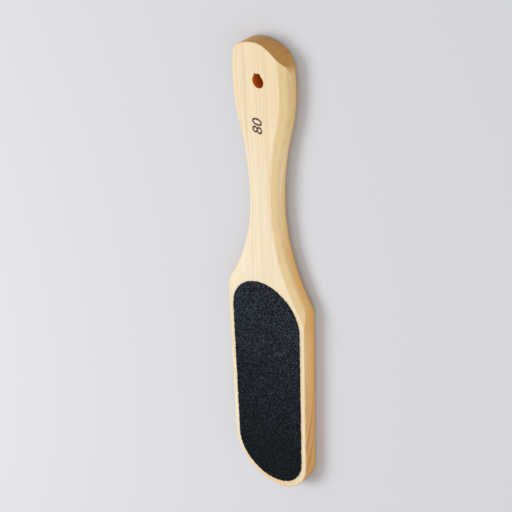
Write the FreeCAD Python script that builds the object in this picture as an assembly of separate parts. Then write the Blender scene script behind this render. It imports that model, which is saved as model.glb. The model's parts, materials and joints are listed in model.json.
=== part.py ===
"""Foot file: a flat wooden paddle with a waisted handle and an abrasive sheet on each face.

Millimetres. The file lies on its fine face: +Z points out of the coarse face, +Y runs from the paddle's
tip to the end of the handle, and the origin is the middle of the footprint, on the surface it lies on.
"""
import FreeCAD, Part
import math
import os

from FreeCAD import Vector

# Abrasive sheets, the same outline on both faces
SHEET_LENGTH = 124.0
SHEET_WIDTH = 41.2
ADHESIVE_THICKNESS = 0.10
BACKING_THICKNESS = 0.25
COARSE_GRIT_THICKNESS = 0.30
FINE_GRIT_THICKNESS = 0.20

# Board and paddle; the rims are the bare wood left around a sheet
BOARD_THICKNESS = 8.0
SIDE_RIM = 2.95
TIP_RIM = 4.0
EDGE_ROUNDING = 0.7

# Handle outline, from the shoulders up: each rise is measured along the file from the stretch below it
SHOULDER_DROP = 10.4
SHOULDER_RADIUS = 17.0
NECK_RISE = 56.0
NECK_WIDTH = 17.8
GRIP_RISE = 57.0
GRIP_WIDTH = 32.6
GRIP_RADIUS = 81.0
END_RISE = 19.4
END_CORNER_RADIUS = 12.5
CROWN_FLATNESS = 5.1

# Shallow bevel along the handle's long edges, running out over the shoulders; its depth is where its slope
# would meet the side, and its outer edge is sanded round in a few flat steps
BEVEL_WIDTH = 4.65
BEVEL_DEPTH = 1.5
BEVEL_ROUNDING = 2.2
ROUNDING_STEPS = 6
RUNOUT_RADIUS = 27.5
RUNOUT_OVERSHOOT = 1.0

# Hanging hole
HOLE_DIAMETER = 6.2
HOLE_FROM_END = 17.4

# How far a cut reaches past the wood
CUT_CLEARANCE = 4.0

UP = Vector(0, 0, 1)
ACROSS = Vector(1, 0, 0)

# Half widths, and the places along Y
paddle_half = SHEET_WIDTH / 2 + SIDE_RIM
neck_half = NECK_WIDTH / 2
grip_half = GRIP_WIDTH / 2
overall_length = TIP_RIM + SHEET_LENGTH - SHOULDER_DROP + NECK_RISE + GRIP_RISE + END_RISE
tip_y = -overall_length / 2
sheet_start_y = tip_y + TIP_RIM
sheet_end_y = sheet_start_y + SHEET_LENGTH
shoulder_y = sheet_end_y - SHOULDER_DROP
neck_y = shoulder_y + NECK_RISE
grip_y = neck_y + GRIP_RISE
end_y = grip_y + END_RISE
hole_y = end_y - HOLE_FROM_END

# The faces of the board
back_z = FINE_GRIT_THICKNESS + BACKING_THICKNESS + ADHESIVE_THICKNESS
front_z = back_z + BOARD_THICKNESS
middle_z = (back_z + front_z) / 2


def joined_radii(sideways, along):
    """Sum of the radii of two arcs that swing sideways over a length and are tangent where they meet."""
    return (sideways**2 + along**2) / (2 * sideways)


def upper_meeting(center_a, radius_a, center_b, radius_b):
    """The upper of the two points where two circles in the plan meet."""
    gap = center_b - center_a
    along = (gap.Length**2 + radius_a**2 - radius_b**2) / (2 * gap.Length)
    across = math.sqrt(radius_a**2 - along**2)
    direction = Vector(gap).normalize()
    sideways = UP.cross(direction)
    sideways.multiply(math.copysign(across, sideways.y))
    return center_a + direction * along + sideways


def bearing(start, target):
    """Direction in the plan from one point to another, in degrees."""
    return math.degrees(math.atan2(target.y - start.y, target.x - start.x))


# Radii that follow from the arcs being tangent
lower_neck_radius = joined_radii(paddle_half - neck_half, NECK_RISE) - SHOULDER_RADIUS
upper_neck_radius = joined_radii(grip_half - neck_half, GRIP_RISE) - GRIP_RADIUS
crown_radius = grip_half + CROWN_FLATNESS

# Centres of the arcs along the right-hand edge
tip_center = Vector(0, tip_y + paddle_half, 0)
shoulder_center = Vector(paddle_half - SHOULDER_RADIUS, shoulder_y, 0)
lower_neck_center = Vector(neck_half + lower_neck_radius, neck_y, 0)
upper_neck_center = Vector(neck_half + upper_neck_radius, neck_y, 0)
grip_center = Vector(grip_half - GRIP_RADIUS, grip_y, 0)
crown_center = Vector(0, end_y - crown_radius, 0)
corner_center = upper_meeting(
    crown_center,
    crown_radius - END_CORNER_RADIUS,
    grip_center,
    GRIP_RADIUS - END_CORNER_RADIUS,
)

# Directions in which neighbouring arcs touch
shoulder_turn = bearing(shoulder_center, lower_neck_center)
grip_turn = bearing(grip_center, upper_neck_center)
corner_start = bearing(grip_center, corner_center)
corner_end = bearing(crown_center, corner_center)


def on_circle(center, radius, degrees):
    """Point at a direction on a circle in the plan."""
    turn = math.radians(degrees)
    return center + Vector(radius * math.cos(turn), radius * math.sin(turn), 0)


def arc(center, radius, start, end):
    """Edge of a circle in the plan, between two directions in degrees."""
    stops = [on_circle(center, radius, degrees) for degrees in (start, (start + end) / 2, end)]
    return Part.Arc(*stops).toShape()


def mirrored_across(shape):
    """The same shape on the other side of the file's long axis."""
    return shape.mirror(Vector(), ACROSS)


def mirrored_through(shape):
    """The same shape on the board's other face."""
    return shape.mirror(Vector(0, 0, middle_z), UP)


def board_outline():
    """Closed outline of the board: tip, side, shoulder, neck, grip and rounded end, on both sides."""
    side_start = Vector(paddle_half, tip_center.y, 0)
    side_end = Vector(paddle_half, shoulder_y, 0)
    right = [
        arc(tip_center, paddle_half, -90, 0),
        Part.makeLine(side_start, side_end),
        arc(shoulder_center, SHOULDER_RADIUS, 0, shoulder_turn),
        arc(lower_neck_center, lower_neck_radius, 180 + shoulder_turn, 180),
        arc(upper_neck_center, upper_neck_radius, 180, 180 + grip_turn),
        arc(grip_center, GRIP_RADIUS, grip_turn, corner_start),
        arc(corner_center, END_CORNER_RADIUS, corner_start, corner_end),
        arc(crown_center, crown_radius, corner_end, 90),
    ]
    left = [mirrored_across(edge) for edge in right]
    return Part.Wire(Part.__sortEdges__(right + left))


def bevel_wedge(center, crease_radius, outward, start, end):
    """Wedge swept round a centre: what the bevel takes off outside its crease, on the front face.

    outward is 1 where the wood lies inside the arc and -1 where it lies outside.
    """
    slope = math.atan2(BEVEL_DEPTH, BEVEL_WIDTH)
    round_out = BEVEL_WIDTH - BEVEL_ROUNDING
    round_down = round_out * math.tan(slope) + BEVEL_ROUNDING / math.cos(slope)
    step = (math.pi / 2 - slope) / ROUNDING_STEPS
    top = CUT_CLEARANCE * math.tan(slope)
    reach = BEVEL_WIDTH + CUT_CLEARANCE

    def corner(out, rise):
        return Vector(center.x + crease_radius + outward * out, center.y, front_z + rise)

    def rounding(steps_left):
        turn = step * steps_left
        out = round_out + BEVEL_ROUNDING * math.cos(turn)
        return corner(out, BEVEL_ROUNDING * math.sin(turn) - round_down)

    rounded = [rounding(steps_left) for steps_left in range(ROUNDING_STEPS, -1, -1)]
    past_side = rounded[-1] * 2 - rounded[-2]
    outer_foot = corner(reach, past_side.z - front_z)
    corners = [corner(-CUT_CLEARANCE, top), *rounded[:-1], past_side, outer_foot, corner(reach, top)]
    section = Part.Face(Part.makePolygon(corners + corners[:1]))
    section.rotate(center, UP, start)
    return section.revolve(center, UP, end - start)


def handle_bevels():
    """The wedges for all four long edges of the handle."""
    runout_x = paddle_half + RUNOUT_OVERSHOOT - RUNOUT_RADIUS
    runout_aside = lower_neck_center.x - runout_x
    runout_apart = lower_neck_radius + BEVEL_WIDTH + RUNOUT_RADIUS
    runout_y = neck_y - math.sqrt(runout_apart**2 - runout_aside**2)
    runout_center = Vector(runout_x, runout_y, 0)
    runout_turn = bearing(runout_center, lower_neck_center)
    grip_crease = GRIP_RADIUS - BEVEL_WIDTH
    past_end = math.degrees(math.asin((END_RISE + CUT_CLEARANCE) / grip_crease))
    front_right = [
        bevel_wedge(runout_center, RUNOUT_RADIUS, 1, 0, runout_turn),
        bevel_wedge(lower_neck_center, lower_neck_radius + BEVEL_WIDTH, -1, 180, 180 + runout_turn),
        bevel_wedge(upper_neck_center, upper_neck_radius + BEVEL_WIDTH, -1, 180 + grip_turn, 180),
        bevel_wedge(grip_center, grip_crease, 1, grip_turn, past_end),
    ]
    front = front_right + [mirrored_across(wedge) for wedge in front_right]
    return front + [mirrored_through(wedge) for wedge in front]


def wooden_body():
    """The board with its edges rounded, its handle bevelled and its hanging hole drilled."""
    plate = Part.Face(board_outline()).extrude(UP * BOARD_THICKNESS)
    plate.translate(UP * back_z)
    rims = [edge for edge in plate.Edges if abs(edge.CenterOfMass.z - middle_z) > BOARD_THICKNESS / 4]
    board = plate.makeFillet(EDGE_ROUNDING, rims)
    board = board.cut(handle_bevels())
    hole_start = Vector(0, hole_y, back_z - CUT_CLEARANCE)
    hole = Part.makeCylinder(HOLE_DIAMETER / 2, BOARD_THICKNESS + 2 * CUT_CLEARANCE, hole_start, UP)
    return board.cut(hole).removeSplitter()


def sheet_layer(bottom_z, thickness):
    """One layer of an abrasive sheet: a strip with half-round ends."""
    radius = SHEET_WIDTH / 2
    low = Vector(0, sheet_start_y + radius, 0)
    high = Vector(0, sheet_end_y - radius, 0)
    edges = [
        arc(low, radius, 180, 360),
        Part.makeLine(on_circle(low, radius, 0), on_circle(high, radius, 0)),
        arc(high, radius, 0, 180),
        Part.makeLine(on_circle(high, radius, 180), on_circle(low, radius, 180)),
    ]
    layer = Part.Face(Part.Wire(edges)).extrude(UP * thickness)
    layer.translate(UP * bottom_z)
    return layer


def coarse_sheet():
    """The front sheet's layers, from the wood outwards."""
    backing_z = front_z + ADHESIVE_THICKNESS
    grit_z = backing_z + BACKING_THICKNESS
    return {
        "coarse_adhesive_film": sheet_layer(front_z, ADHESIVE_THICKNESS),
        "coarse_backing_sheet": sheet_layer(backing_z, BACKING_THICKNESS),
        "coarse_grit_coat": sheet_layer(grit_z, COARSE_GRIT_THICKNESS),
    }


def fine_sheet():
    """The rear sheet's layers, from the wood outwards, down to the surface the file lies on."""
    adhesive_z = back_z - ADHESIVE_THICKNESS
    backing_z = adhesive_z - BACKING_THICKNESS
    return {
        "fine_adhesive_film": sheet_layer(adhesive_z, ADHESIVE_THICKNESS),
        "fine_backing_sheet": sheet_layer(backing_z, BACKING_THICKNESS),
        "fine_grit_coat": sheet_layer(backing_z - FINE_GRIT_THICKNESS, FINE_GRIT_THICKNESS),
    }


os.makedirs("parts", exist_ok=True)
pieces = {"wooden_body": wooden_body(), **coarse_sheet(), **fine_sheet()}
for node, shape in pieces.items():
    shape.exportStep(f"parts/{node}.step")
    print(node, "valid" if shape.isValid() else "not valid", len(shape.Solids), round(shape.Volume, 2))
print("overall length", round(overall_length, 2), "hole centre", round(hole_y, 3), "front", round(front_z, 3))
print("neck radii", round(lower_neck_radius, 2), round(upper_neck_radius, 2), "crown", round(crown_radius, 2))
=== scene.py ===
"""Foot file, dressed: a pale wooden paddle with burnt grit numbers and an abrasive sheet on each face.

Metres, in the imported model's frame: the file lies on its fine face, +Z points out of the coarse face, and
+Y runs from the paddle's tip to the end of the handle.
"""
import json
import math
import random

import bmesh
import bpy
from mathutils import Matrix, Vector, noise


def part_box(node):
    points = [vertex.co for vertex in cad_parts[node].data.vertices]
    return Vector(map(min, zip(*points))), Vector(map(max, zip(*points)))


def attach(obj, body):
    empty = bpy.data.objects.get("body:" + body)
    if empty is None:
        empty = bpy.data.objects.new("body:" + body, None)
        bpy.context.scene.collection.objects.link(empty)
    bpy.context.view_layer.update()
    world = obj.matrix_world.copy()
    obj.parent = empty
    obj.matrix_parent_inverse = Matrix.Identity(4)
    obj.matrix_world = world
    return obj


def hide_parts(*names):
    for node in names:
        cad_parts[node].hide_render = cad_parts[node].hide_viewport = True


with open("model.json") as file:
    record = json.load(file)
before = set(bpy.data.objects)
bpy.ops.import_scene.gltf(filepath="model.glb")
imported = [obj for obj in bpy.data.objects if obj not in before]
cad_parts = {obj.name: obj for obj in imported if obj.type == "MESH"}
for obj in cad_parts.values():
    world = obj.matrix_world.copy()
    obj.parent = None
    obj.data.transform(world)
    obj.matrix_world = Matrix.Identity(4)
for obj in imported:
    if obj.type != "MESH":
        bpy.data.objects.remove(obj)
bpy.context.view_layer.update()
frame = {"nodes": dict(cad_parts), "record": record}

MM = 0.001

# Camera: turn, rise and roll about the standing file, in degrees, the point that it looks at, how far off
# it is, and its lens
VIEW_TURN = 41.884
VIEW_RISE = 34.379
VIEW_ROLL = -2.244
VIEW_AIM = Vector((-11.502, 10.032, 1.095)) * MM
VIEW_DISTANCE = 577.84 * MM
VIEW_LENS = 85.828
VIEW_NEAR = 10.0 * MM
SENSOR_WIDTH = 36.0

# Sanded board: edges sharper than the first angle stay crisp, triangles within the other two are joined to
# quads and flats, points nearer than the weld become one, and the normals of the faces and their bevels are
# more upright than this
CREASE_ANGLE = math.radians(16.5)
QUAD_ANGLE = math.radians(3)
FLAT_ANGLE = math.radians(0.3)
WELD = 0.002 * MM
UPRIGHT = 0.9

# One corner of the handle's end was sanded off in flats: two points of each on the coarse face, in
# millimetres, and how far in degrees it leans out towards the fine one
CORNER_FLATS = (
    ((0.5, 125.0), (4.5, 124.0), 3.7),
    ((2.5, 124.75), (7.0, 122.55), 9.2),
    ((5.0, 123.8), (9.3, 120.85), 12.3),
)

# The rounding between the handle's end and its faces: where it starts, its steepest step, how far at least
# its normals point along the board, and how upright they are
END_ZONE = 112.0 * MM
END_STEP = math.radians(40)
END_FACING = 0.15
END_LOWEST = 0.05
END_HIGHEST = 0.999

# The bevels' creases are rounded over at the neck: where most, how far either way, how broadly there, and in
# how many steps. Over its first length the rounding's steps stay crisp where they are sharper than this and
# run along the board by more than this share
NECK_PLACE = 50.0 * MM
NECK_REACH = 36.0 * MM
NECK_ROUNDING = 3.2 * MM
NECK_STEPS = 5
NECK_START = 5.0 * MM
NECK_STEP = math.radians(1)
LENGTHWISE = 0.8

# Torn rim of the hanging hole: which side of it, how far round either way, how far the fibres tore at most,
# the least share of that, and how near to the rim a point has to lie
TEAR_SIDE = Vector((-0.15, 1.0))
TEAR_SPREAD = math.radians(32)
TEAR_REACH = 0.85 * MM
TEAR_LEAST = 0.15
RIM_NEAR = 0.05 * MM
TEAR_SEED = 5

# Abrasive grains: spacing of the mesh that carries them, how much of it they stray and keep clear of the
# outline, how much of the coat's thickness they rise and fall, and how much of a nick's depth they may stay
# short of the cut edge
COARSE_PITCH = 0.30 * MM
FINE_PITCH = 0.34 * MM
GRAIN_STRAY = 0.3
GRAIN_CLEARANCE = 0.4
GRAIN_RISE = 0.42
GRAIN_SHORTFALL = 0.4
COARSE_SEED = 11
FINE_SEED = 23

# Cut edge of the sheets: how deep its nicks are, how far apart, and how close its points lie
COARSE_RAGGED = 0.58 * MM
FINE_RAGGED = 0.36 * MM
RAGGED_WAVE = 1.4 * MM
EDGE_PITCH = 0.32 * MM

# Burnt grit numbers: height of the figures, its share of the letter size, how bold they are, how near their
# points may lie before they are joined, where they stand, and how deep and proud they are
FIGURE_HEIGHT = 5.6 * MM
FIGURE_SHARE = 0.72
FIGURE_BOLDNESS = 0.10 * MM
FIGURE_WELD = 0.025 * MM
FIGURE_PLACE = Vector((-0.9, 86.2)) * MM
BURN_DEPTH = 0.06 * MM
BURN_PROUD = 0.012 * MM

board_low, board_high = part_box("wooden_body")
hanging_hole = next(mount for mount in frame["record"]["mounts"] if mount["name"] == "hanging_hole")
hole_centre = Vector(hanging_hole["pos_m"])
hole_radius = hanging_hole["dims"]["r_mm"] * MM


# Modelling helpers

def take_up(piece):
    """Makes a piece the only selected object, and the active one."""
    bpy.ops.object.select_all(action="DESELECT")
    piece.select_set(True)
    bpy.context.view_layer.objects.active = piece


def start_editing(piece):
    """Opens a piece in edit mode with nothing selected, and returns its editable mesh."""
    take_up(piece)
    bpy.ops.object.mode_set(mode="EDIT")
    bpy.ops.mesh.select_mode(type="VERT")
    bpy.ops.mesh.select_all(action="DESELECT")
    return bmesh.from_edit_mesh(piece.data)


def stop_editing():
    bpy.ops.object.mode_set(mode="OBJECT")


def choose(mesh, piece, part):
    """Selects the vertices for which part(vertex) is true."""
    for vertex in mesh.verts:
        vertex.select = part(vertex)
    mesh.select_flush_mode()
    bmesh.update_edit_mesh(piece.data)


def middle_of(edge):
    return (edge.verts[0].co + edge.verts[1].co) / 2


def on_faces(edge):
    """Whether an edge lies on the board's faces or their bevels."""
    return len(edge.link_faces) == 2 and all(abs(face.normal.z) > UPRIGHT for face in edge.link_faces)


def apply_modifier(piece, kind, **settings):
    """Adds a modifier with these settings and applies it, leaving the piece taken up."""
    take_up(piece)
    modifier = piece.modifiers.new(kind.lower(), kind)
    for name, value in settings.items():
        setattr(modifier, name, value)
    bpy.ops.object.modifier_apply(modifier=modifier.name)


def finish_piece(piece, finish, slot, *nodes):
    """Gives a piece its material and its place on the file, and hides the CAD nodes that it stands for."""
    piece.data.materials.clear()
    piece.data.materials.append(finish)
    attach(piece, "root")
    if nodes:
        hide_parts(*nodes)


# Shader helpers

class Graph:
    """A node tree that is built socket by socket."""

    def __init__(self, tree):
        self.tree = tree

    def feed(self, socket, value):
        if isinstance(value, bpy.types.NodeSocket):
            self.tree.links.new(value, socket)
        else:
            socket.default_value = value

    def node(self, kind, settings=None, **inputs):
        """A node of this kind; inputs are given by socket name, with _ for a space."""
        node = self.tree.nodes.new(kind)
        for name, value in (settings or {}).items():
            setattr(node, name, value)
        for name, value in inputs.items():
            self.feed(node.inputs[name.replace("_", " ")], value)
        return node

    def math(self, operation, *values):
        node = self.node("ShaderNodeMath", {"operation": operation})
        for socket, value in zip(node.inputs, values):
            self.feed(socket, value)
        return node.outputs["Value"]

    def span(self, value, start, end, low=0.0, high=1.0):
        """Carries value from start..end to low..high, easing in and out."""
        node = self.node("ShaderNodeMapRange", {"interpolation_type": "SMOOTHSTEP"}, Value=value)
        for name, bound in (("From Min", start), ("From Max", end), ("To Min", low), ("To Max", high)):
            self.feed(node.inputs[name], bound)
        return node.outputs["Result"]

    def blend(self, factor, first, second, way="MIX"):
        """Mixes two colours."""
        node = self.node("ShaderNodeMix", {"data_type": "RGBA", "blend_type": way})
        self.feed(node.inputs["Factor"], factor)
        self.feed(node.inputs[6], first)
        self.feed(node.inputs[7], second)
        return node.outputs[2]

    def noise(self, place, scale, detail=2.0, roughness=0.5):
        """Noise with this many waves per metre along each axis."""
        spread = self.node("ShaderNodeMapping", Vector=place, Scale=scale)
        node = self.node("ShaderNodeTexNoise", Vector=spread.outputs["Vector"])
        node.inputs["Scale"].default_value = 1.0
        node.inputs["Detail"].default_value = detail
        node.inputs["Roughness"].default_value = roughness
        return node.outputs["Fac"]


def new_group(name, inputs, outputs):
    """An empty shader node group, with its graph and its input and output nodes."""
    tree = bpy.data.node_groups.new(name, "ShaderNodeTree")
    for title, kind in inputs.items():
        tree.interface.new_socket(name=title, in_out="INPUT", socket_type=kind)
    for title, kind in outputs.items():
        tree.interface.new_socket(name=title, in_out="OUTPUT", socket_type=kind)
    graph = Graph(tree)
    return graph, graph.node("NodeGroupInput").outputs, graph.node("NodeGroupOutput").inputs


def new_finish(name):
    """An empty material: its graph, its shader, and the place and normal of the shaded point."""
    finish = bpy.data.materials.new(name)
    finish.use_nodes = True
    graph = Graph(finish.node_tree)
    shader = finish.node_tree.nodes["Principled BSDF"]
    point = graph.node("ShaderNodeTexCoord").outputs
    return finish, graph, shader, point


def colour(red, green, blue):
    return (red, green, blue, 1.0)


# Finishes

# Wood: spacing of the rings and how unevenly they lie, when in the year the late wood starts and stops, how
# faint it is in the palest year, the tree's heart, how the grain dips towards the tip, and how far it sways
RING_PITCH = 1.55 * MM
RING_SHIFT = 2.2
LATE_WOOD_START = (0.25, 0.88)
LATE_WOOD_STOP = (1.0, 0.92)
FAINTEST_YEAR = 0.25
PITH = Vector((-62.0, 0.0, -70.0)) * MM
DIP_START = -30.0 * MM
DIP_PER_METRE = -1.4
SWAY_REACH = 2.6 * MM

# Waves of each part of the figure per metre: across the board or out from the heart, along, and through it
SWAY_WAVES = (45.0, 7.0, 45.0)
RING_WAVES = (260.0, 1.5, 1.0)
LINE_WAVES = (3200.0, 6.0, 1.0)
FIBRE_WAVES = (1900.0, 34.0, 1900.0)
TONE_WAVES = (110.0, 7.0, 110.0)
FLECK_WAVES = (1100.0, 120.0, 1100.0)
END_WAVES = (1500.0, 1500.0, 110.0)

# Which part of that noise shows as lines, fibres and flecks
LINE_SHADES = (0.45, 0.68)
FIBRE_SHADES = (0.30, 0.72, 0.14, 0.0)
FLECK_SHADES = (0.66, 0.78)

# How upright the normal is on a bevel and on a side, how far along the board it points on the ends, and how
# the bevels' tan, a painted shade, grows from the key lamp's side of the board to the side turned from it
BEVEL_SLOPES = (0.992, 0.958)
SIDE_SLOPES = (0.88, 0.25)
END_SLOPES = (0.14, 0.58)
BEVEL_PAINTED_SHADE = (-0.25, 0.25, 0.15, 1.0)

# Where along the board its tone changes: from, to, and how strongly at each
WARMING = (40.0 * MM, 116.0 * MM, 0.0, 0.44)
TIP_TAN = (-106.0 * MM, -124.0 * MM, 0.0, 0.60)
SIDE_PALING = (14.0 * MM, 62.0 * MM, 0.0, 1.0)
GRIP_WARMING = (70.0 * MM, 98.0 * MM, 0.0, 1.0)
SHOULDER_AMBER = (44.0 * MM, 2.0 * MM, 0.0, 0.55)
SHOULDER_FADING = (-8.0 * MM, -26.0 * MM, 1.0, 0.0)
SIDE_RIPENING = (-50.0 * MM, -112.0 * MM, 0.0, 0.85)
RING_DARKENING = (-10.0 * MM, -105.0 * MM, 0.06, 1.0)
END_GRAIN = (98.0 * MM, 108.0 * MM)

# The same across the board, and down through it
WARMING_ACROSS = (-13.0 * MM, 9.0 * MM, 0.0, 0.28)
END_PALING = (2.0 * MM, -11.0 * MM, 0.0, 0.60)
# Painted shade: the sides turn amber towards their rear edge
REAR_PAINTED_SHADE = (5.6 * MM, 1.4 * MM, 0.0, 0.85)

# How the broad tone warms the faces, and how strongly lines, rings and flecks show on each surface
TONE_WARMING = (0.35, 0.70, 0.0, 0.14)
FACE_LINES = 0.75
FACE_RINGS = 0.24
BEVEL_LINES = 0.30
SIDE_LINES = 0.45
END_RINGS = 0.45
FLECK_SHOW = 0.18

# The scorching reaches as far out as the tear, and fades out by this many times that
SCORCH_FADE = 1.3

CREAM = colour(0.985, 0.890, 0.690)
CREAM_LINE = colour(0.830, 0.615, 0.330)
CREAM_RING = colour(0.850, 0.650, 0.375)
CREAM_TONE = colour(0.890, 0.700, 0.420)
CREAM_TIP = colour(0.800, 0.560, 0.270)
TAN = colour(0.880, 0.655, 0.345)
TAN_LINE = colour(0.770, 0.530, 0.270)
SIDE = colour(0.930, 0.605, 0.265)
SIDE_LINE = colour(0.770, 0.430, 0.150)
SIDE_PALE = colour(0.985, 0.790, 0.450)
SIDE_GRIP = colour(0.885, 0.635, 0.305)
SIDE_RIPE = colour(0.760, 0.370, 0.090)
SIDE_RING = colour(0.480, 0.175, 0.032)
AMBER = colour(0.820, 0.430, 0.095)
END_DARK = colour(0.390, 0.165, 0.030)
END_PALE = colour(0.770, 0.405, 0.100)
END_RING = colour(0.440, 0.190, 0.040)
FIBRE = colour(0.740, 0.500, 0.250)
FLECK = colour(0.600, 0.330, 0.140)
CHAR_DARK = colour(0.080, 0.038, 0.031)
CHAR_PALE = colour(0.180, 0.093, 0.078)
SCORCH_DARK = colour(0.420, 0.075, 0.002)
SCORCH_PALE = colour(0.880, 0.270, 0.012)

# Abrasive coats: size of a grain, the colours of the bond, the grains and the few bright ones, which shades
# of grain show and which are painted as glints, how large the clumps are and how much the dark ones keep,
# how a painted sheen pales the coat towards the handle, and how upright its normals are where that sheen
# shows
COARSE_GRAIN = 0.30 * MM
COARSE_COLOURS = (
    colour(0.0006, 0.0020, 0.0032),
    colour(0.0800, 0.1035, 0.1460),
    colour(0.1600, 0.1940, 0.2400),
)
FINE_GRAIN = 0.36 * MM
FINE_COLOURS = (
    colour(0.010, 0.011, 0.013),
    colour(0.048, 0.053, 0.060),
    colour(0.120, 0.130, 0.145),
)
GRAIN_SHADES = (0.47, 1.0)
GLINT_SHADES = (0.94, 0.98)
CLUMP_SCALE = 0.62
CLUMP_SHADES = (0.32, 0.68)
CLUMP_KEEP = 0.70
PAINTED_SHEEN = (-116.0 * MM, 6.0 * MM, 0.24, 0.97)
TOP_SLOPES = (0.15, 0.45)

# Paper and film of the sheets
PAPER_DARK = colour(0.006, 0.006, 0.007)
PAPER_PALE = colour(0.020, 0.018, 0.017)
GLUE_DARK = colour(0.008, 0.007, 0.006)
GLUE_PALE = colour(0.030, 0.022, 0.014)
LAYER_WAVES = (700.0, 700.0, 2600.0)

# Surfaces: roughness of the dark and the pale parts, gloss, and how strong and deep the relief is
WOOD_ROUGHNESS = (0.25, 0.75, 0.62, 0.50)
WOOD_GLOSS = 0.3
WOOD_RELIEF = 0.25
WOOD_RELIEF_DEPTH = 0.06 * MM
FLECK_DEPTH = 0.6
CHAR_SHADES = (0.3, 0.7)
CHAR_ROUGHNESS = (0.3, 0.7, 0.85, 0.70)
CHAR_GLOSS = 0.2
GRIT_ROUGHNESS = (0.0, 1.0, 0.75, 0.50)
GRIT_GLOSS = 0.05
GRIT_RELIEF = 0.6
GRIT_RELIEF_DEPTH = 0.15 * MM
PAPER_ROUGHNESS = (0.3, 0.7, 0.9, 0.75)
PAPER_GLOSS = 0.2
GLUE_ROUGHNESS = (0.3, 0.7, 0.6, 0.45)
GLUE_GLOSS = 0.4


def wood_figure_group():
    """Growth rings, fine lines, fibres and broad tone of a pale board whose heart lies off to one side."""
    graph, given, result = new_group(
        "wood_figure",
        {"Place": "NodeSocketVector"},
        {name: "NodeSocketFloat" for name in ("Rings", "Lines", "Fibre", "Tone", "Flecks")},
    )
    place = given["Place"]
    from_pith = graph.node("ShaderNodeMapping", Vector=place, Location=-PITH).outputs["Vector"]
    across = graph.node("ShaderNodeVectorMath", {"operation": "MULTIPLY"})
    graph.feed(across.inputs[0], from_pith)
    graph.feed(across.inputs[1], (1.0, 0.0, 1.0))
    distance = graph.node("ShaderNodeVectorMath", {"operation": "LENGTH"})
    graph.feed(distance.inputs[0], across.outputs["Vector"])

    # The grain runs straight along the handle and dips towards the tip
    along = graph.node("ShaderNodeSeparateXYZ", Vector=place).outputs["Y"]
    past = graph.math("MAXIMUM", graph.math("SUBTRACT", DIP_START, along), 0.0)
    dip = graph.math("MULTIPLY", graph.math("MULTIPLY", past, past), DIP_PER_METRE)
    sway = graph.math("SUBTRACT", graph.noise(place, SWAY_WAVES), 0.5)
    drift = graph.math("ADD", dip, graph.math("MULTIPLY", sway, SWAY_REACH))
    radius = graph.math("ADD", distance.outputs["Value"], drift)
    unrolled = graph.node("ShaderNodeCombineXYZ", X=radius, Y=along).outputs["Vector"]

    # Each year's late wood is a darker line, wider apart in some years than in others
    shift = graph.math("MULTIPLY", graph.noise(unrolled, RING_WAVES), RING_SHIFT)
    year = graph.math("ADD", graph.math("DIVIDE", radius, RING_PITCH), shift)
    season = graph.math("FRACT", year)
    late_wood = graph.math(
        "MULTIPLY", graph.span(season, *LATE_WOOD_START), graph.span(season, *LATE_WOOD_STOP)
    )
    which = graph.node("ShaderNodeTexWhiteNoise", {"noise_dimensions": "1D"}, W=graph.math("FLOOR", year))
    depth = graph.span(which.outputs["Value"], 0.0, 1.0, FAINTEST_YEAR)
    lines = graph.noise(unrolled, LINE_WAVES, detail=2.0, roughness=0.55)
    graph.feed(result["Rings"], graph.math("MULTIPLY", late_wood, depth))
    graph.feed(result["Lines"], graph.span(lines, *LINE_SHADES))
    graph.feed(result["Fibre"], graph.noise(place, FIBRE_WAVES, detail=3.0, roughness=0.6))
    graph.feed(result["Tone"], graph.noise(place, TONE_WAVES))
    graph.feed(result["Flecks"], graph.span(graph.noise(place, FLECK_WAVES), *FLECK_SHADES))
    return graph.tree


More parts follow.
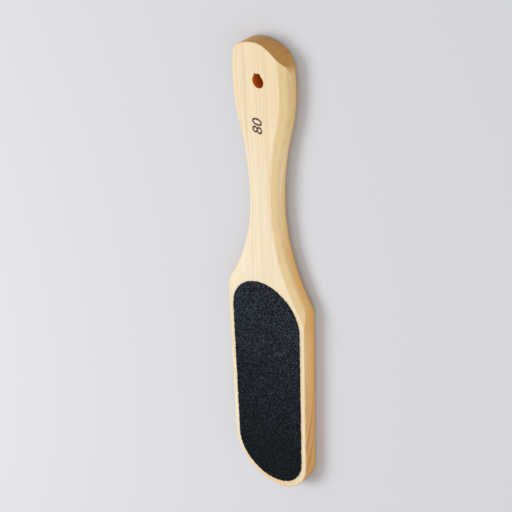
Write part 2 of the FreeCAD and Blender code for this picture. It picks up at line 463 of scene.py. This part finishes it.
def wood_finish(figure_group):
    """Planed pale wood: cream faces, tan bevels, warmer sides, brown end grain and a scorched bore."""
    finish, graph, shader, point = new_finish("pale_wood")
    place = point["Object"]
    figure = graph.node("ShaderNodeGroup", {"node_tree": figure_group}, Place=place).outputs
    facing = graph.node("ShaderNodeSeparateXYZ", Vector=point["Normal"]).outputs
    where = graph.node("ShaderNodeSeparateXYZ", Vector=place).outputs
    flat = graph.math("ABSOLUTE", facing["Z"])
    bevel = graph.span(flat, *BEVEL_SLOPES)
    side = graph.span(flat, *SIDE_SLOPES)
    at_end = graph.span(graph.math("ABSOLUTE", where["Y"]), *END_GRAIN)
    end = graph.span(graph.math("ABSOLUTE", facing["Y"]), *END_SLOPES)
    end = graph.math("MULTIPLY", graph.math("MULTIPLY", end, at_end), side)

    # Cream faces with faint rings and many fine lines
    warmth = graph.math("ADD", graph.span(where["Y"], *WARMING), graph.span(where["X"], *WARMING_ACROSS))
    warmth = graph.math("ADD", warmth, graph.span(figure["Tone"], *TONE_WARMING))
    face = graph.blend(warmth, CREAM, CREAM_TONE)
    face = graph.blend(graph.math("MULTIPLY", figure["Lines"], FACE_LINES), face, CREAM_LINE)
    face = graph.blend(graph.math("MULTIPLY", figure["Rings"], FACE_RINGS), face, CREAM_RING)
    face = graph.blend(graph.span(where["Y"], *TIP_TAN), face, CREAM_TIP)

    # Bevels: tan painted shade on the side turned from the key lamp, nearly as pale as the face on the other
    slope = graph.blend(graph.math("MULTIPLY", figure["Lines"], BEVEL_LINES), TAN, TAN_LINE)
    bevel_shade = graph.span(facing["X"], *BEVEL_PAINTED_SHADE)
    wood = graph.blend(graph.math("MULTIPLY", bevel, bevel_shade), face, slope)

    # Warmer sides, whose rings darken towards the tip, with amber painted shade towards the rear edge
    tip_ward = graph.span(where["Y"], *RING_DARKENING)
    edge = graph.blend(graph.span(where["Y"], *SIDE_PALING), SIDE, SIDE_PALE)
    edge = graph.blend(graph.span(where["Y"], *GRIP_WARMING), edge, SIDE_GRIP)
    edge = graph.blend(graph.span(where["Y"], *SIDE_RIPENING), edge, SIDE_RIPE)
    edge = graph.blend(graph.math("MULTIPLY", figure["Lines"], SIDE_LINES), edge, SIDE_LINE)
    edge = graph.blend(graph.math("MULTIPLY", figure["Rings"], tip_ward), edge, SIDE_RING)
    edge = graph.blend(graph.span(where["Z"], *REAR_PAINTED_SHADE), edge, AMBER)
    shoulder = graph.math(
        "MULTIPLY", graph.span(where["Y"], *SHOULDER_AMBER), graph.span(where["Y"], *SHOULDER_FADING)
    )
    edge = graph.blend(shoulder, edge, AMBER)
    wood = graph.blend(side, wood, edge)

    # End grain
    grain = graph.blend(graph.noise(place, END_WAVES, detail=3.0), END_DARK, END_PALE)
    grain = graph.blend(graph.math("MULTIPLY", figure["Rings"], END_RINGS), grain, END_RING)
    grain = graph.blend(graph.span(where["X"], *END_PALING), grain, END_PALE)
    wood = graph.blend(end, wood, grain)

    # Fibres and flecks all over
    wood = graph.blend(graph.span(figure["Fibre"], *FIBRE_SHADES), wood, FIBRE)
    wood = graph.blend(graph.math("MULTIPLY", figure["Flecks"], FLECK_SHOW), wood, FLECK)

    # Scorched wall of the hanging hole
    off_axis = (-hole_centre.x, -hole_centre.y, 0.0)
    from_axis = graph.node("ShaderNodeMapping", Vector=place, Location=off_axis, Scale=(1.0, 1.0, 0.0))
    reach = graph.node("ShaderNodeVectorMath", {"operation": "LENGTH"})
    graph.feed(reach.inputs[0], from_axis.outputs["Vector"])
    fade = (hole_radius + TEAR_REACH * SCORCH_FADE, hole_radius + TEAR_REACH)
    near = graph.span(reach.outputs["Value"], *fade)
    scorch = graph.blend(figure["Fibre"], SCORCH_DARK, SCORCH_PALE)
    wood = graph.blend(graph.math("MULTIPLY", near, side), wood, scorch)

    graph.feed(shader.inputs["Base Color"], wood)
    graph.feed(shader.inputs["Roughness"], graph.span(figure["Fibre"], *WOOD_ROUGHNESS))
    shader.inputs["Specular IOR Level"].default_value = WOOD_GLOSS
    relief = graph.math("SUBTRACT", figure["Fibre"], graph.math("MULTIPLY", figure["Flecks"], FLECK_DEPTH))
    bump = graph.node("ShaderNodeBump", Height=relief)
    bump.inputs["Strength"].default_value = WOOD_RELIEF
    bump.inputs["Distance"].default_value = WOOD_RELIEF_DEPTH
    graph.feed(shader.inputs["Normal"], bump.outputs["Normal"])
    return finish


def burnt_finish(figure_group):
    """Wood burnt dark brown, with the fibres still showing."""
    finish, graph, shader, point = new_finish("burnt_wood")
    figure = graph.node("ShaderNodeGroup", {"node_tree": figure_group}, Place=point["Object"]).outputs
    char = graph.blend(graph.span(figure["Fibre"], *CHAR_SHADES), CHAR_DARK, CHAR_PALE)
    graph.feed(shader.inputs["Base Color"], char)
    graph.feed(shader.inputs["Roughness"], graph.span(figure["Fibre"], *CHAR_ROUGHNESS))
    shader.inputs["Specular IOR Level"].default_value = CHAR_GLOSS
    return finish


def grit_speckle_group():
    """Abrasive grains in their bond: each grain's own shade, clumps of grains, and the gaps between them."""
    graph, given, result = new_group(
        "grit_speckle",
        {"Place": "NodeSocketVector", "Grain Size": "NodeSocketFloat"},
        {name: "NodeSocketFloat" for name in ("Shade", "Clump", "Relief")},
    )
    per_metre = graph.math("DIVIDE", 1.0, given["Grain Size"])
    grains = graph.node("ShaderNodeTexVoronoi", Vector=given["Place"], Scale=per_metre)
    shade = graph.node("ShaderNodeSeparateColor", Color=grains.outputs["Color"]).outputs["Red"]
    per_clump = graph.math("MULTIPLY", per_metre, CLUMP_SCALE)
    clump = graph.node("ShaderNodeTexNoise", Vector=given["Place"], Scale=per_clump)
    clump.inputs["Detail"].default_value = 2.0
    graph.feed(result["Shade"], shade)
    graph.feed(result["Clump"], graph.span(clump.outputs["Fac"], *CLUMP_SHADES))
    graph.feed(result["Relief"], graph.math("SUBTRACT", 1.0, grains.outputs["Distance"]))
    return graph.tree


def grit_finish(name, speckle_group, grain_size, bond, grain, glint):
    """Dark abrasive coat: blue-grey grains in a near-black bond, with a painted sheen towards the handle."""
    finish, graph, shader, point = new_finish(name)
    speckle = graph.node("ShaderNodeGroup", {"node_tree": speckle_group}, Place=point["Object"])
    speckle.inputs["Grain Size"].default_value = grain_size
    shade = speckle.outputs["Shade"]
    along = graph.node("ShaderNodeSeparateXYZ", Vector=point["Object"]).outputs["Y"]
    upright = graph.node("ShaderNodeSeparateXYZ", Vector=point["Normal"]).outputs["Z"]
    on_top = graph.span(graph.math("ABSOLUTE", upright), *TOP_SLOPES)
    # Painted sheen: the coat is painted paler towards the handle and on its upright grain faces, standing
    # for light glancing off the grains; steep faces keep the dark bond
    painted_sheen = graph.math("MULTIPLY", graph.span(along, *PAINTED_SHEEN), on_top)
    clump = graph.math("MULTIPLY", graph.span(speckle.outputs["Clump"], 0.0, 1.0, CLUMP_KEEP, 1.0), painted_sheen)
    body = graph.blend(graph.math("MULTIPLY", clump, graph.span(shade, *GRAIN_SHADES)), bond, grain)
    # Painted glints: the brightest grains take a pale colour that stands for light glinting off them
    coat = graph.blend(graph.math("MULTIPLY", graph.span(shade, *GLINT_SHADES), clump), body, glint)
    graph.feed(shader.inputs["Base Color"], coat)
    graph.feed(shader.inputs["Roughness"], graph.span(shade, *GRIT_ROUGHNESS))
    shader.inputs["Specular IOR Level"].default_value = GRIT_GLOSS
    bump = graph.node("ShaderNodeBump", Height=speckle.outputs["Relief"])
    bump.inputs["Strength"].default_value = GRIT_RELIEF
    bump.inputs["Distance"].default_value = GRIT_RELIEF_DEPTH
    graph.feed(shader.inputs["Normal"], bump.outputs["Normal"])
    return finish


def layer_finish(name, dark, pale, roughness, gloss):
    """A thin dark layer seen on its edge: fibrous and slightly uneven."""
    finish, graph, shader, point = new_finish(name)
    mottle = graph.noise(point["Object"], LAYER_WAVES, detail=3.0)
    graph.feed(shader.inputs["Base Color"], graph.blend(mottle, dark, pale))
    graph.feed(shader.inputs["Roughness"], graph.span(mottle, *roughness))
    shader.inputs["Specular IOR Level"].default_value = gloss
    return finish


# Pieces

def sanded_board():
    """The wooden body: rounded edges, creases that soften at the neck, and a sanded corner at its end."""
    board = bpy.data.objects.new("sanded_board", frame["nodes"]["wooden_body"].data.copy())
    bpy.context.scene.collection.objects.link(board)
    start_editing(board)
    bpy.ops.mesh.select_all(action="SELECT")
    bpy.ops.mesh.customdata_custom_splitnormals_clear()
    bpy.ops.mesh.remove_doubles(threshold=WELD)

    # The sanded corner
    for start, stop, lean in CORNER_FLATS:
        foot = Vector((start[0] * MM, start[1] * MM, board_high.z))
        along = Vector(stop) - Vector(start)
        outward = Vector((-along.y, along.x, along.length * math.tan(math.radians(lean))))
        bpy.ops.mesh.bisect(plane_co=foot, plane_no=outward.normalized(), use_fill=True, clear_outer=True)
        bpy.ops.mesh.select_all(action="SELECT")
    bpy.ops.mesh.tris_convert_to_quads(face_threshold=QUAD_ANGLE, shape_threshold=math.pi)
    bpy.ops.mesh.dissolve_limited(angle_limit=FLAT_ANGLE)

    # The torn rim of the hanging hole
    mesh = bmesh.from_edit_mesh(board.data)
    draw = random.Random(TEAR_SEED)
    for vertex in mesh.verts:
        spoke = (vertex.co - hole_centre).to_2d()
        at_rim = abs(spoke.length - hole_radius) < RIM_NEAR and vertex.co.z > board_high.z - RIM_NEAR
        if at_rim and spoke.angle(TEAR_SIDE) < TEAR_SPREAD:
            vertex.co += spoke.normalized().to_3d() * TEAR_REACH * draw.uniform(TEAR_LEAST, 1.0)

    # The creases that the neck's rounding takes, each by its own share
    share = mesh.edges.layers.float.new("bevel_weight_edge")
    for edge in mesh.edges:
        off = (middle_of(edge).y - NECK_PLACE) / NECK_REACH
        if on_faces(edge) and abs(off) < 1.0 and edge.calc_face_angle() > CREASE_ANGLE:
            edge[share] = (1.0 - off * off) ** 2
    bmesh.update_edit_mesh(board.data)
    stop_editing()
    apply_modifier(board, "BEVEL", limit_method="WEIGHT", width=NECK_ROUNDING, segments=NECK_STEPS)
    bpy.ops.object.shade_smooth_by_angle(angle=CREASE_ANGLE)

    # The narrow rounding of the handle's end is smooth all along
    mesh = start_editing(board)
    bpy.ops.mesh.select_mode(type="EDGE")
    for edge in mesh.edges:
        in_rounding = all(
            face.normal.y > END_FACING
            and END_LOWEST < abs(face.normal.z) < END_HIGHEST
            and face.calc_center_median().y > END_ZONE
            for face in edge.link_faces
        )
        edge.select = in_rounding and edge.calc_face_angle() < END_STEP
    bmesh.update_edit_mesh(board.data)
    bpy.ops.mesh.mark_sharp(clear=True)

    # The neck's rounding starts out of crisp creases at both ends
    for edge in mesh.edges:
        run = edge.verts[1].co - edge.verts[0].co
        off = abs(middle_of(edge).y - NECK_PLACE)
        lengthwise = abs(run.y) > LENGTHWISE * run.length
        starting = lengthwise and on_faces(edge) and NECK_REACH - NECK_START < off < NECK_REACH
        edge.select = starting and edge.calc_face_angle() > NECK_STEP
    bmesh.update_edit_mesh(board.data)
    bpy.ops.mesh.mark_sharp()
    stop_editing()
    apply_modifier(board, "WEIGHTED_NORMAL", keep_sharp=True)
    return board


def spine_point(point, low, high):
    """The nearest point of the line along the middle of a round-ended sheet, between these corners."""
    radius = (high.x - low.x) / 2
    return Vector((0.0, min(max(point.y, low.y + radius), high.y - radius), point.z))


def nick(point, ragged):
    """How far a sheet's cut edge falls short of its outline at a point."""
    return ragged * max(0.0, noise.noise(Vector((point.x, point.y, 0.0)) / RAGGED_WAVE))


def drop_rim(base):
    """Extrudes the rim of the piece in edit mode to a height, closes it there and leaves edit mode."""
    bpy.ops.mesh.select_mode(type="EDGE")
    bpy.ops.mesh.select_all(action="DESELECT")
    bpy.ops.mesh.select_non_manifold(extend=False)
    bpy.ops.mesh.extrude_region_move()
    bpy.ops.transform.resize(value=(1.0, 1.0, 0.0), center_override=(0.0, 0.0, base))
    bpy.ops.mesh.edge_face_add()
    bpy.ops.mesh.select_all(action="SELECT")
    bpy.ops.mesh.normals_make_consistent(inside=False)
    stop_editing()


def cut_layer(name, node, ragged):
    """A sheet's paper or film, cut along the same nicked line as its grains."""
    low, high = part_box(node)
    radius = (high.x - low.x) / 2
    straight = high.y - low.y - 2 * radius

    # An even count that four doesn't divide, so that no point lies where the disc parts
    points = 4 * round(math.pi * radius / EDGE_PITCH / 2) + 2
    bpy.ops.object.select_all(action="DESELECT")
    bpy.ops.mesh.primitive_circle_add(vertices=points, radius=radius, fill_type="NGON")
    layer = bpy.context.object
    layer.name = name
    layer.data.name = name

    # The disc's halves move apart to the ends of the sheet
    mesh = start_editing(layer)
    choose(mesh, layer, lambda vertex: vertex.co.y < 0.0)
    bpy.ops.transform.translate(value=(0.0, low.y + radius, high.z))
    choose(mesh, layer, lambda vertex: vertex.co.y > 0.0)
    bpy.ops.transform.translate(value=(0.0, high.y - radius, high.z))
    bpy.ops.mesh.select_mode(type="EDGE")
    for edge in mesh.edges:
        edge.select = edge.calc_length() > straight / 2
    bmesh.update_edit_mesh(layer.data)
    bpy.ops.mesh.subdivide(number_cuts=round(straight / EDGE_PITCH))

    mesh = bmesh.from_edit_mesh(layer.data)
    for vertex in mesh.verts:
        centre = spine_point(vertex.co, low, high)
        vertex.co = centre + (vertex.co - centre).normalized() * (radius - nick(vertex.co, ragged))
    bmesh.update_edit_mesh(layer.data)
    drop_rim(low.z)
    return layer


def grit_coat(name, node, pitch, ragged, seed, outward):
    """A sheet's coat of grains: a fine grid cut to the sheet's outline, with every point at its own height.

    outward is 1 for the coat that faces up and -1 for the one that the file lies on.
    """
    low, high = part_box(node)
    width = high.x - low.x
    length = high.y - low.y
    radius = width / 2
    thickness = high.z - low.z
    crest = high.z if outward > 0 else low.z
    base = low.z if outward > 0 else high.z
    relief = thickness * GRAIN_RISE
    bpy.ops.object.select_all(action="DESELECT")
    bpy.ops.mesh.primitive_grid_add(
        x_subdivisions=round(width / pitch), y_subdivisions=round(length / pitch), size=1.0
    )
    coat = bpy.context.object
    coat.name = name
    coat.data.name = name
    start_editing(coat)
    bpy.ops.mesh.select_all(action="SELECT")
    bpy.ops.transform.resize(value=(width, length, 1.0), center_override=(0.0, 0.0, 0.0))
    bpy.ops.transform.translate(value=(0.0, (low.y + high.y) / 2, crest - outward * relief))
    mesh = bmesh.from_edit_mesh(coat.data)
    far = radius - pitch * GRAIN_CLEARANCE
    choose(mesh, coat, lambda vertex: (vertex.co - spine_point(vertex.co, low, high)).length > far)
    bpy.ops.mesh.delete(type="VERT")

    # The cut edge wanders a little, and the grains lean every way
    mesh = bmesh.from_edit_mesh(coat.data)
    draw = random.Random(seed)
    for vertex in mesh.verts:
        if vertex.is_boundary:
            centre = spine_point(vertex.co, low, high)
            reach = radius - nick(vertex.co, ragged) - ragged * GRAIN_SHORTFALL * draw.random()
            vertex.co = centre + (vertex.co - centre).normalized() * reach
        else:
            vertex.co.x += pitch * GRAIN_STRAY * draw.uniform(-1.0, 1.0)
            vertex.co.y += pitch * GRAIN_STRAY * draw.uniform(-1.0, 1.0)
        vertex.co.z += outward * relief * draw.uniform(-1.0, 1.0)
    bmesh.update_edit_mesh(coat.data)

    drop_rim(base)
    return coat


def burnt_number(name, figures, outward):
    """A grit number burnt into the handle and read along it, with outward as for the coats."""
    face = board_high.z if outward > 0 else board_low.z
    bpy.ops.object.select_all(action="DESELECT")
    bpy.ops.object.text_add()
    number = bpy.context.object
    number.name = name
    number.data.body = figures
    number.data.size = FIGURE_HEIGHT / FIGURE_SHARE
    number.data.align_x = "CENTER"
    number.data.align_y = "CENTER"
    number.data.extrude = (BURN_DEPTH + BURN_PROUD) / 2
    number.data.offset = FIGURE_BOLDNESS
    bpy.ops.object.convert(target="MESH")
    start_editing(number)
    bpy.ops.mesh.select_all(action="SELECT")
    bpy.ops.mesh.remove_doubles(threshold=FIGURE_WELD)
    stop_editing()
    turn = Matrix.Rotation(math.pi / 2, 4, "Z")
    if outward < 0:
        turn = Matrix.Rotation(math.pi, 4, "Y") @ turn
    rise = face + outward * (BURN_PROUD - BURN_DEPTH) / 2
    number.matrix_world = Matrix.Translation((outward * FIGURE_PLACE.x, FIGURE_PLACE.y, rise)) @ turn
    bpy.ops.object.transform_apply(location=True, rotation=True, scale=True)
    number.data.name = name
    return number


# Stage

FLOOR_SPAN = 6.0
FLOOR_COLOUR = colour(0.72, 0.73, 0.77)
FLOOR_ROUGHNESS = 0.9
FLOOR_GLOSS = 0.1
SKY_COLOUR = colour(0.97, 0.98, 1.0)
SKY_STRENGTH = 0.52
KEY_LAMP = {"place": (-0.80, -0.15, 0.90), "size": 0.7, "watts": 8.5, "tint": (1.0, 0.99, 0.97)}
SIDE_LAMP = {"place": (0.95, 0.20, 0.45), "size": 0.8, "watts": 2.6, "tint": (1.0, 0.96, 0.91)}


def studio_floor():
    """A plain pale floor under the file."""
    bpy.ops.object.select_all(action="DESELECT")
    bpy.ops.mesh.primitive_plane_add(size=FLOOR_SPAN)
    floor = bpy.context.object
    floor.name = "studio_floor"
    paint = bpy.data.materials.new("floor_paint")
    paint.use_nodes = True
    shader = paint.node_tree.nodes["Principled BSDF"]
    shader.inputs["Base Color"].default_value = FLOOR_COLOUR
    shader.inputs["Roughness"].default_value = FLOOR_ROUGHNESS
    shader.inputs["Specular IOR Level"].default_value = FLOOR_GLOSS
    floor.data.materials.append(paint)


def studio_lamp(name, place, size, watts, tint):
    """A soft square lamp that looks at the middle of the file."""
    lamp = bpy.data.lights.new(name, "AREA")
    lamp.size = size
    lamp.energy = watts
    lamp.color = tint
    holder = bpy.data.objects.new(name, lamp)
    holder.location = place
    holder.rotation_euler = (-Vector(place)).to_track_quat("-Z", "Y").to_euler()
    bpy.context.scene.collection.objects.link(holder)


def studio_sky():
    """An even pale surround."""
    sky = bpy.data.worlds.new("studio_sky")
    sky.use_nodes = True
    light = sky.node_tree.nodes["Background"]
    light.inputs["Color"].default_value = SKY_COLOUR
    light.inputs["Strength"].default_value = SKY_STRENGTH
    bpy.context.scene.world = sky


def photo_camera():
    """The camera at the photograph's viewing angle, turned about the file as it stands on its tip."""
    turn, rise, roll = (math.radians(angle) for angle in (VIEW_TURN, VIEW_RISE, VIEW_ROLL))
    back = Vector((math.sin(turn) * math.cos(rise), math.sin(rise), math.cos(turn) * math.cos(rise)))
    level = Vector((0.0, 1.0, 0.0)).cross(back).normalized()
    upright = back.cross(level)
    right = level * math.cos(roll) + upright * math.sin(roll)
    up = upright * math.cos(roll) - level * math.sin(roll)
    lens = bpy.data.cameras.new("photo_camera")
    lens.lens = VIEW_LENS
    lens.sensor_width = SENSOR_WIDTH
    lens.clip_start = VIEW_NEAR
    holder = bpy.data.objects.new("photo_camera", lens)
    turned = Matrix((right, up, back)).transposed().to_4x4()
    holder.matrix_world = Matrix.Translation(VIEW_AIM + back * VIEW_DISTANCE) @ turned
    bpy.context.scene.collection.objects.link(holder)
    bpy.context.scene.camera = holder


# Assembly

wood_figure = wood_figure_group()
grit_speckle = grit_speckle_group()
pale_wood = wood_finish(wood_figure)
burnt_wood = burnt_finish(wood_figure)
coarse_grit = grit_finish("coarse_grit", grit_speckle, COARSE_GRAIN, *COARSE_COLOURS)
fine_grit = grit_finish("fine_grit", grit_speckle, FINE_GRAIN, *FINE_COLOURS)
backing_paper = layer_finish("backing_paper", PAPER_DARK, PAPER_PALE, PAPER_ROUGHNESS, PAPER_GLOSS)
adhesive_film = layer_finish("adhesive_film", GLUE_DARK, GLUE_PALE, GLUE_ROUGHNESS, GLUE_GLOSS)

finish_piece(sanded_board(), pale_wood, "wood", "wooden_body")
finish_piece(
    grit_coat("coarse_grains", "coarse_grit_coat", COARSE_PITCH, COARSE_RAGGED, COARSE_SEED, 1),
    coarse_grit,
    "coarse_grit",
    "coarse_grit_coat",
)
finish_piece(
    grit_coat("fine_grains", "fine_grit_coat", FINE_PITCH, FINE_RAGGED, FINE_SEED, -1),
    fine_grit,
    "fine_grit",
    "fine_grit_coat",
)
finish_piece(burnt_number("coarse_number", "80", 1), burnt_wood, "wood")
finish_piece(burnt_number("fine_number", "150", -1), burnt_wood, "wood")
for sheet, ragged in (("coarse", COARSE_RAGGED), ("fine", FINE_RAGGED)):
    paper = cut_layer(f"{sheet}_paper", f"{sheet}_backing_sheet", ragged)
    finish_piece(paper, backing_paper, "backing", f"{sheet}_backing_sheet")
    film = cut_layer(f"{sheet}_film", f"{sheet}_adhesive_film", ragged)
    finish_piece(film, adhesive_film, "adhesive", f"{sheet}_adhesive_film")

studio_floor()
studio_lamp("key_lamp", **KEY_LAMP)
studio_lamp("side_lamp", **SIDE_LAMP)
studio_sky()
photo_camera()
bpy.context.scene.view_settings.view_transform = "Standard"
